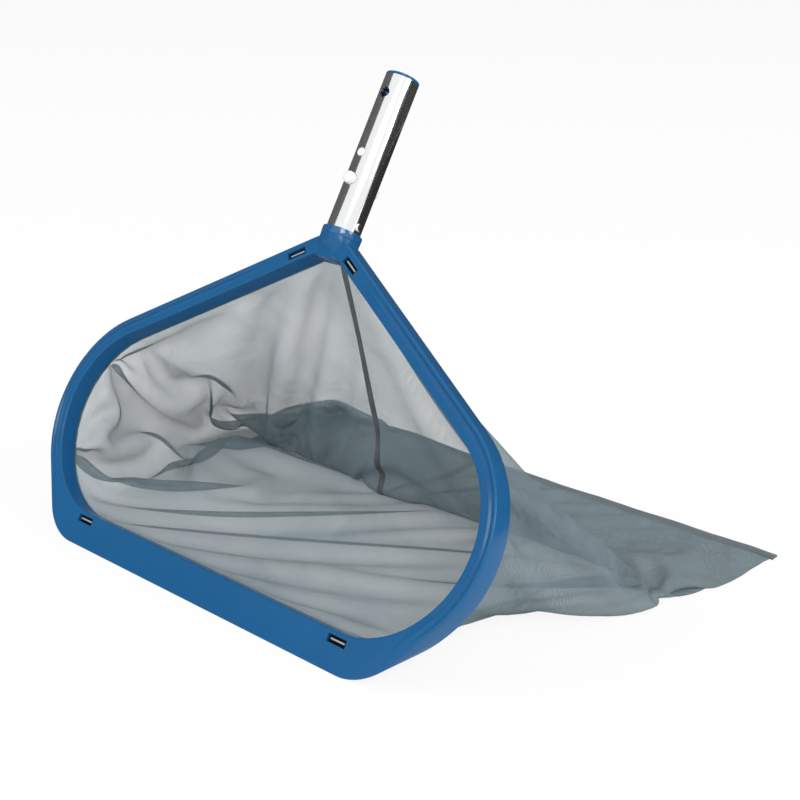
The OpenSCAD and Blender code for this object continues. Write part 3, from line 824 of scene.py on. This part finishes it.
def hung_column(k, mouth):
    """Column k of the bag as it is hung: its points, cut depth, and row held on the floor.

    Cloth that lies on the floor is held there by its weight on the right and in the middle."""
    half = BAG_ROUND // 2
    turn = (k + half) % BAG_ROUND - half
    part = 2 * turn / half
    end, slack = end_of(part)
    m = leaves(k, 0, mouth)
    foot = foot_of(m, mouth)
    drop, run = (foot - m).length, (end - foot).length
    foot_row = round(BAG_ROWS * drop / (drop + run)) - 1
    rests = REST_FROM < part < REST_TO
    points = []
    for n in range(BAG_ROWS):
        m = leaves(k, ramp(n, 0, FAN_ROWS), mouth)
        foot = foot_of(m, mouth)
        if rests and n == foot_row:
            points.append(foot)
            continue
        if not rests:
            point = along([m, foot, end], (n + 1) / BAG_ROWS)
        elif n < foot_row:
            point = m.lerp(foot, (n + 1) / (foot_row + 1))
        else:
            past = (n - foot_row) / (BAG_ROWS - 1 - foot_row)
            point = foot.lerp(end, past)
        inward = Vector((-point.x, 0, HEART_Z - point.z)).normalized()
        fade = max(0, 1 - n / foot_row) if rests else 1
        point += inward * fold_of(k, n, mouth) * fade ** 0.5
        if rests and n > foot_row:
            lift = math.sin(math.pi * past)
            point.z += SIDE_FOLD * lift * max(0, 1 - abs(part - 1) / SIDE_RUN)
        if n < BAG_ROWS - 1:
            point = rippled(point, n, turn)
            point.z = max(point.z, end.z if (n + 1) / BAG_ROWS > 0.65 else FLOOR_GAP)
        points.append(point)
    return points, slack * (drop + run), foot_row if rests else None


def cut_points(cut_round, depths):
    """The bag's points as they were cut, row by row round a tapered tube."""
    cut = []
    for n in range(-len(HELD_ROWS) + 1, BAG_ROWS + 1):
        share = max(0, n) / BAG_ROWS
        radius = (cut_round + (BAG_END_ROUND - cut_round) * share) / (2 * math.pi)
        for k, depth in enumerate(depths):
            angle = 2 * math.pi * k / BAG_ROUND
            deep = depth * share + min(0, n) * HELD_STEP
            cut.append(Vector((radius * math.cos(angle), radius * math.sin(angle), deep)))
    return cut


def bag_shapes():
    """Rows of the bag as it is hung, its points as they were cut, its points held on the
    floor, and the cut's size: round the mouth, down the longest column, and its area."""
    noise.seed_set(RIPPLE_SEED)
    mouth = bag_mouth()
    held = [held_row(inset, depth, mouth.shares) for inset, depth in HELD_ROWS]
    made = [hung_column(k, mouth) for k in range(BAG_ROUND)]
    hung = [list(row) for row in zip(*(points for points, _, _ in made))]
    depths = [depth for _, depth, _ in made]
    laid = [(row + len(held), k) for k, (_, _, row) in enumerate(made) if row is not None]
    area = (mouth.cut_round + BAG_END_ROUND) / 2 * sum(depths) / len(depths)
    cut = cut_points(mouth.cut_round, depths)
    return held + hung, cut, laid, (mouth.cut_round, max(depths), area)


def links_of(flat):
    """The pairs of points that keep their distance, in sets that share no point.

    Each set gives the first points, the second points, their distances as they were cut,
    and how far one pass puts them right."""
    row_of, column_of = numpy.indices(flat.shape[:2])
    sets = []
    for down, over, hold in CLOTH["links"]:
        for turn in (0, 1):
            counter, step = (row_of, down) if down else (column_of, over)
            chosen = (counter // step % 2 == turn) & (row_of + down < len(flat))
            first = row_of[chosen], column_of[chosen]
            second = first[0] + down, (first[1] + over) % BAG_ROUND
            rest = numpy.linalg.norm(flat[second] - flat[first], axis=1)
            sets.append((first, second, rest, hold))
    return sets


def hang(rows, cut, held, steps):
    """Lets cloth that was cut to a shape hang from its held points, the same way each run.

    The top layer stays above its own floor level, and what lies under it stays below."""
    spots = numpy.array([[tuple(p) for p in row] for row in rows])
    sets = links_of(numpy.array([tuple(p) for p in cut]).reshape(spots.shape))
    free = numpy.ones(spots.shape[:2])
    free[tuple(zip(*held))] = 0
    part = abs((numpy.arange(BAG_ROUND) * 4 / BAG_ROUND + 2) % 4 - 2)
    upper = numpy.broadcast_to(part < UPPER_PART, free.shape)
    level = numpy.minimum(numpy.where(upper, FLOOR_GAP + LAYER_GAP, FLOOR_GAP), spots[..., 2])
    before = spots.copy()
    step = CLOTH["time"] / steps
    for _ in range(steps):
        speed = (spots - before) * (1 - CLOTH["drag"])
        speed[..., 2] -= CLOTH["weight"] * step * step
        before = spots.copy()
        spots = spots + speed * free[..., None]
        for first, second, rest, hold in sets * CLOTH["passes"]:
            way = spots[second] - spots[first]
            size = numpy.linalg.norm(way, axis=1)
            loose = free[first] + free[second]
            pull = hold * (size - rest) / numpy.maximum(size * loose, 1e-9)
            spots[first] += way * (pull * free[first])[:, None]
            spots[second] -= way * (pull * free[second])[:, None]
        low = (spots[..., 2] < level) & (free > 0)
        spots[low, 2] = level[low]
        before[low] += (spots[low] - before[low]) * CLOTH["grip"]
        under = ~upper & (spots[..., 1] > TOP_FOOT) & (free > 0)
        spots[under, 2] = numpy.minimum(spots[under, 2], FLOOR_GAP + UNDER_GAP)
    return [[Vector(p) for p in row] for row in spots]


def make_bag(steps):
    """The mesh bag, hung from the frame and laid on the floor.

    Returns it with its rows of points, the size that it was cut to, and the cut's area."""
    rows, cut, laid, (cut_round, cut_depth, area) = bag_shapes()
    if steps:
        fixed = [*range(len(HELD_ROWS)), len(rows) - 1]
        held = [(row, column) for row in fixed for column in range(BAG_ROUND)]
        rows = hang(rows, cut, held + laid, steps)
    bm = bmesh.new()
    rings = loft(bm, rows)
    lay = bm.loops.layers.uv.new("cut")
    spots = {v: (row, column) for row, ring in enumerate(rings) for column, v in enumerate(ring)}
    for face in bm.faces:
        wrapped = {spots[loop.vert][1] for loop in face.loops} >= {0, BAG_ROUND - 1}
        for loop in face.loops:
            row, column = spots[loop.vert]
            column = BAG_ROUND if wrapped and column == 0 else column
            loop[lay].uv = (column * cut_round / BAG_ROUND, row * CUT_ROW)
    face_out(bm)
    bag = object_from(bm, "mesh_bag")
    round_off(bag)
    return bag, rows, (cut_round, cut_depth), area


def round_off(piece):
    """One level of subdivision, kept."""
    finer = piece.modifiers.new("finer", "SUBSURF")
    finer.levels = finer.render_levels = 1
    settle(piece)
    piece.data.shade_smooth()


def close_ends(bm):
    """Fills a strip's two ends."""
    bmesh.ops.holes_fill(bm, edges=[e for e in bm.edges if e.is_boundary], sides=0)
    face_out(bm)


def lay_uv(bm, along_axis):
    """Measures of a strip, along it and across it, for its weave."""
    lay = bm.loops.layers.uv.new("cut")
    for face in bm.faces:
        for loop in face.loops:
            place = loop.vert.co
            loop[lay].uv = (place[along_axis], place[2 - along_axis] + place[1])


def make_tape(rows, material):
    """Seam tape down the middle of the bag's top layer."""
    sections = []
    for row, after in zip(rows[3:-2], rows[4:-1]):
        left = row[0] + (row[-1] - row[0]).normalized() * TAPE_HALF
        right = row[0] + (row[1] - row[0]).normalized() * TAPE_HALF
        out = (right - left).cross(after[0] - row[0]).normalized() * TAPE_T / 2
        sections.append([left - out, left + out, right + out, right - out])
    bm = bmesh.new()
    loft(bm, sections)
    close_ends(bm)
    lay_uv(bm, 2)
    tape = object_from(bm, "bag_tape")
    round_off(tape)
    finished(tape, material, "head", "seam_tape", "seam_tape")
    return tape


def make_hem(material):
    """Doubled hem that closes the bag's far end, tucked under at its far left corner."""
    sections = []
    count = BAG_ROUND // 2
    for k in range(count + 1):
        across = 2 * k / count - 1
        top, _ = end_of(across)
        bottom, _ = end_of(math.copysign(2, across) - across)
        middle = top.lerp(bottom, 0.5)
        ragged = HEM_RAGGED * noise.noise(Vector((k * 0.4, 7, 0)))
        near, far = middle.y - HEM_LAP, middle.y + HEM_W - 3 * HEM_LAP + ragged
        low, high = middle.z - HEM_T / 2, middle.z + HEM_T / 2
        sections.append([
            Vector((middle.x, near, low)), Vector((middle.x, near, high)),
            Vector((middle.x, far, high)), Vector((middle.x, far, low)),
        ])
    bm = bmesh.new()
    loft(bm, sections)
    close_ends(bm)
    long_edges = [e for e in bm.edges if abs((e.verts[0].co - e.verts[1].co).x) > 1 * MM]
    bmesh.ops.bevel(
        bm, geom=long_edges, offset=HEM_T / 3, segments=2, affect="EDGES", profile=0.5,
        material=-1
    )
    lay_uv(bm, 0)
    hem = object_from(bm, "bag_hem")
    smooth(hem)
    finished(hem, material, "head", "mesh", "end_hem")
    return hem


# ---- Materials --------------------------------------------------------------


def group_of(name, inputs, outputs):
    """A node group with named sockets: its tree, what it is given and what it puts out."""
    tree = bpy.data.node_groups.new(name, "ShaderNodeTree")
    for side, names in (("INPUT", inputs), ("OUTPUT", outputs)):
        for socket in names:
            kind = "NodeSocketColor" if socket == "Colour" else "NodeSocketFloat"
            tree.interface.new_socket(name=socket, in_out=side, socket_type=kind)
    given, put_out = tree.nodes.new("NodeGroupInput"), tree.nodes.new("NodeGroupOutput")
    return tree, given.outputs, put_out.inputs


def placed(tree, group, **values):
    """A node group placed in a material with its own values. Returns its outputs."""
    node = tree.nodes.new("ShaderNodeGroup")
    node.node_tree = group
    for socket, value in values.items():
        node.inputs[socket].default_value = value
    return node.outputs


def noise_node(tree, place, scale, detail, distortion=0):
    """Noise over the given coordinates."""
    node = tree.nodes.new("ShaderNodeTexNoise")
    tree.links.new(place, node.inputs["Vector"])
    feed(tree, node.inputs["Scale"], scale)
    node.inputs["Detail"].default_value = detail
    node.inputs["Distortion"].default_value = distortion
    return node.outputs["Fac"]


def swing(tree, value, middle, by):
    """How far a value lies past its middle, times a factor."""
    return math_node(tree, "MULTIPLY", math_node(tree, "SUBTRACT", value, middle), by)


def bump_node(tree, height, strength, distance):
    """Relief from a height. Returns the node, whose Normal goes on to the next one."""
    node = tree.nodes.new("ShaderNodeBump")
    node.inputs["Strength"].default_value = strength
    node.inputs["Distance"].default_value = distance
    tree.links.new(height, node.inputs["Height"])
    return node


def grain_group():
    """Moulded grain: broad mottling of a colour and fine bumps for the finish."""
    tree, given, put_out = group_of(
        "moulded_grain", ("Colour", "Mottle", "Roughness", "Grain"),
        ("Colour", "Roughness", "Height"),
    )
    place = tree.nodes.new("ShaderNodeTexCoord").outputs["Object"]
    mottle = swing(tree, noise_node(tree, place, scale=14, detail=3), 0.5, given["Mottle"])
    lift = math_node(tree, "ADD", mottle, 1)
    tint = tree.nodes.new("ShaderNodeVectorMath")
    tint.operation = "SCALE"
    tree.links.new(given["Colour"], tint.inputs[0])
    tree.links.new(lift, tint.inputs["Scale"])
    tree.links.new(tint.outputs[0], put_out["Colour"])
    tree.links.new(math_node(tree, "MULTIPLY", given["Roughness"], lift), put_out["Roughness"])
    tree.links.new(noise_node(tree, place, given["Grain"], detail=2), put_out["Height"])
    return tree


def grained(name, group, colour, roughness, mottle, grain, bump, **sockets):
    """Principled material whose colour, roughness and bump come from the grain group."""
    material, tree = new_material(name)
    shader = tree.nodes["Principled BSDF"]
    for socket, value in sockets.items():
        shader.inputs[socket.replace("_", " ")].default_value = value
    skin = placed(
        tree, group, Colour=(*colour, 1), Mottle=mottle, Roughness=roughness, Grain=grain
    )
    relief = bump_node(tree, skin["Height"], 1, bump)
    tree.links.new(skin["Colour"], shader.inputs["Base Color"])
    tree.links.new(skin["Roughness"], shader.inputs["Roughness"])
    tree.links.new(relief.outputs["Normal"], shader.inputs["Normal"])
    return material


# How thread, uneven spinning and creases change how much the weave covers: the middle of each
# and how far it swings. The creases' swing paints lighter and darker patches of fold shade
THREAD_COVER, UNEVEN_COVER, CREASE_COVER = (0.9, 1.2), (0.5, 0.12), (0.5, 0.42)


def weave_group():
    """Open weave on the cut's own measures: threads both ways, with uneven thickness."""
    tree, given, put_out = group_of(
        "open_weave", ("Pitch", "Cover"), ("Thread", "Cover", "Heather", "Creases")
    )
    cut = tree.nodes.new("ShaderNodeUVMap")
    cut.uv_map = "cut"
    parts = tree.nodes.new("ShaderNodeSeparateXYZ")
    tree.links.new(cut.outputs["UV"], parts.inputs[0])
    uneven = noise_node(tree, cut.outputs["UV"], scale=60, detail=3)
    creases = noise_node(tree, cut.outputs["UV"], scale=9, detail=4, distortion=1.2)
    threads = []
    for axis in ("X", "Y"):
        turns = math_node(tree, "DIVIDE", parts.outputs[axis], given["Pitch"])
        wave = math_node(tree, "SINE", math_node(tree, "MULTIPLY", turns, math.pi))
        threads.append(math_node(tree, "ABSOLUTE", wave))
    thread = math_node(tree, "MAXIMUM", *threads)
    cover = math_node(tree, "ADD", swing(tree, thread, *THREAD_COVER), given["Cover"])
    # The crease noise shifts the cover to paint patches of fold shade
    drift, crease_shade = swing(tree, uneven, *UNEVEN_COVER), swing(tree, creases, *CREASE_COVER)
    cover = math_node(tree, "ADD", cover, math_node(tree, "ADD", drift, crease_shade))
    whole = tree.nodes.new("ShaderNodeClamp")
    tree.links.new(cover, whole.inputs["Value"])
    tree.links.new(thread, put_out["Thread"])
    tree.links.new(whole.outputs[0], put_out["Cover"])
    tree.links.new(uneven, put_out["Heather"])
    tree.links.new(creases, put_out["Creases"])
    return tree


def woven(name, group, pale, dark, pitch, cover, closing, bump, creased=0):
    """Cloth of the open weave, which closes where it turns away from the eye."""
    material, tree = new_material(name)
    shader = tree.nodes["Principled BSDF"]
    shader.inputs["Roughness"].default_value = 0.75
    shader.inputs["Specular IOR Level"].default_value = 0.3
    weave = placed(tree, group, Pitch=pitch, Cover=cover)
    tint = tree.nodes.new("ShaderNodeMix")
    tint.data_type = "RGBA"
    tint.inputs["A"].default_value = (*dark, 1)
    tint.inputs["B"].default_value = (*pale, 1)
    tree.links.new(weave["Heather"], tint.inputs["Factor"])
    tree.links.new(tint.outputs["Result"], shader.inputs["Base Color"])
    away = tree.nodes.new("ShaderNodeLayerWeight")
    away.inputs["Blend"].default_value = 0.5
    shut = math_node(tree, "MULTIPLY_ADD", away.outputs["Facing"], closing, weave["Cover"])
    shut.node.use_clamp = True
    tree.links.new(shut, shader.inputs["Alpha"])
    rumple = bump_node(tree, weave["Creases"], 1, creased)
    relief = bump_node(tree, weave["Thread"], 0.6, bump)
    tree.links.new(rumple.outputs["Normal"], relief.inputs["Normal"])
    tree.links.new(relief.outputs["Normal"], shader.inputs["Normal"])
    return material


# ---- Stage ------------------------------------------------------------------

DUSK = (0.05, 0.05, 0.045)
LAMPS_AIM = (0, 0.15, 0.1)

make_camera()
make_world(level=0.62)
make_floor(shown=0.88, through=0.35)
make_card("card_left", (0.1, 0.1, 0.1), 2.7, 2.0, (-1.0, -0.15, 1.0), (1, 0, 0))
make_card("card_right", DUSK, 1.1, 0.95, (1.35, 1.15, 0.475), (-1, 0, 0))
make_card("card_behind", DUSK, 3.6, 1.1, (0.1, 1.65, 0.5), (0, -1, 0))
make_card("card_low", (0.03, 0.03, 0.027), 2.6, 1.2, (0.15, 1.02, 0.004), (0, 0, 1))
make_card("card_middle", (0.25, 0.25, 0.25), 0.06, 1.6, (1.06, -1.24, 1.21), (-0.53, 0.72, -0.45))
area_light("key", (4.2, -3.2, 4.6), LAMPS_AIM, size=3.0, power=200)
fill = area_light("fill", (-3.6, -4.0, 3.6), LAMPS_AIM, size=3.0, power=125)
fill.visible_glossy = False
area_light("side", (5.2, 1.6, 2.6), LAMPS_AIM, size=2.4, power=100)

# ---- Finishes ---------------------------------------------------------------

BLUE = (0.0095, 0.095, 0.242)
PITCH = 1.0 * MM

grain = grain_group()
blue = grained(
    "blue_moulding", grain, BLUE, roughness=0.22, mottle=0.18, grain=900, bump=0.03 * MM,
    Specular_IOR_Level=0.25,
)
glossy = grained(
    "blue_collar", grain, BLUE, roughness=0.1, mottle=0.1, grain=900, bump=0.02 * MM,
    Specular_IOR_Level=0.7,
)
polished = grained(
    "polished_tube", grain, (0.86, 0.87, 0.88), roughness=0.12, mottle=0.05, grain=600,
    bump=0.01 * MM, Metallic=1.0,
)
nylon = grained(
    "natural_nylon", grain, (0.82, 0.84, 0.83), roughness=0.35, mottle=0.05, grain=700,
    bump=0.02 * MM,
)
# Near-black latch hook: painted shade standing in for the dark of the latch windows
window_shade = grained(
    "latch_painted_shade", grain, (0.004, 0.004, 0.005), roughness=0.5, mottle=0.1, grain=900,
    bump=0.02 * MM, Specular_IOR_Level=0.1,
)
# Pale latch ridge: a painted highlight for the light streak across each window
pale = grained(
    "latch_painted_glint", grain, (0.36, 0.37, 0.37), roughness=0.35, mottle=0.1, grain=900,
    bump=0.02 * MM,
)
web = grained(
    "mesh_bead", grain, (0.42, 0.46, 0.47), roughness=0.7, mottle=0.2, grain=1500,
    bump=0.1 * MM,
)
weave = weave_group()
net = woven(
    "bag_mesh", weave, (0.19, 0.25, 0.27), (0.137, 0.192, 0.218), PITCH, cover=0.61,
    closing=0.33, bump=0.15 * MM, creased=15 * MM,
)
taped = woven(
    "bag_tape", weave, (0.19, 0.2, 0.205), (0.05, 0.053, 0.055), 0.9 * PITCH, cover=1.2,
    closing=0, bump=0.2 * MM,
)
hemmed = woven(
    "bag_hem", weave, (0.17, 0.2, 0.21), (0.12, 0.145, 0.155), PITCH, cover=0.95,
    closing=0.2, bump=0.2 * MM,
)

# ---- Pieces -----------------------------------------------------------------

moulding = make_moulding(blue)
make_tube(polished)
make_collar(glossy)
make_plug(blue)
for hand, side in (("left", -1), ("right", 1)):
    make_rivet(hand, side, polished)
make_clip_arm("front", 1, "front_button", nylon)
make_clip_arm("back", -1, "back_button", nylon)
for node, place in latch_places():
    make_latch(node, place, window_shade, pale)

bag, bag_rows, flat, flat_area = make_bag(SETTLE_STEPS)
finished(bag, net, "head", "mesh", "net_bag")
tape, hem = make_tape(bag_rows, taped), make_hem(hemmed)

for node, material in (
    ("clamp_ring", blue), ("tube_spigot", blue), ("mesh_roll", web), ("clip_bow", nylon),
):
    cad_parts[node].data.materials.clear()
    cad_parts[node].data.materials.append(material)

view = bpy.context.scene.view_settings
view.view_transform = "Standard"
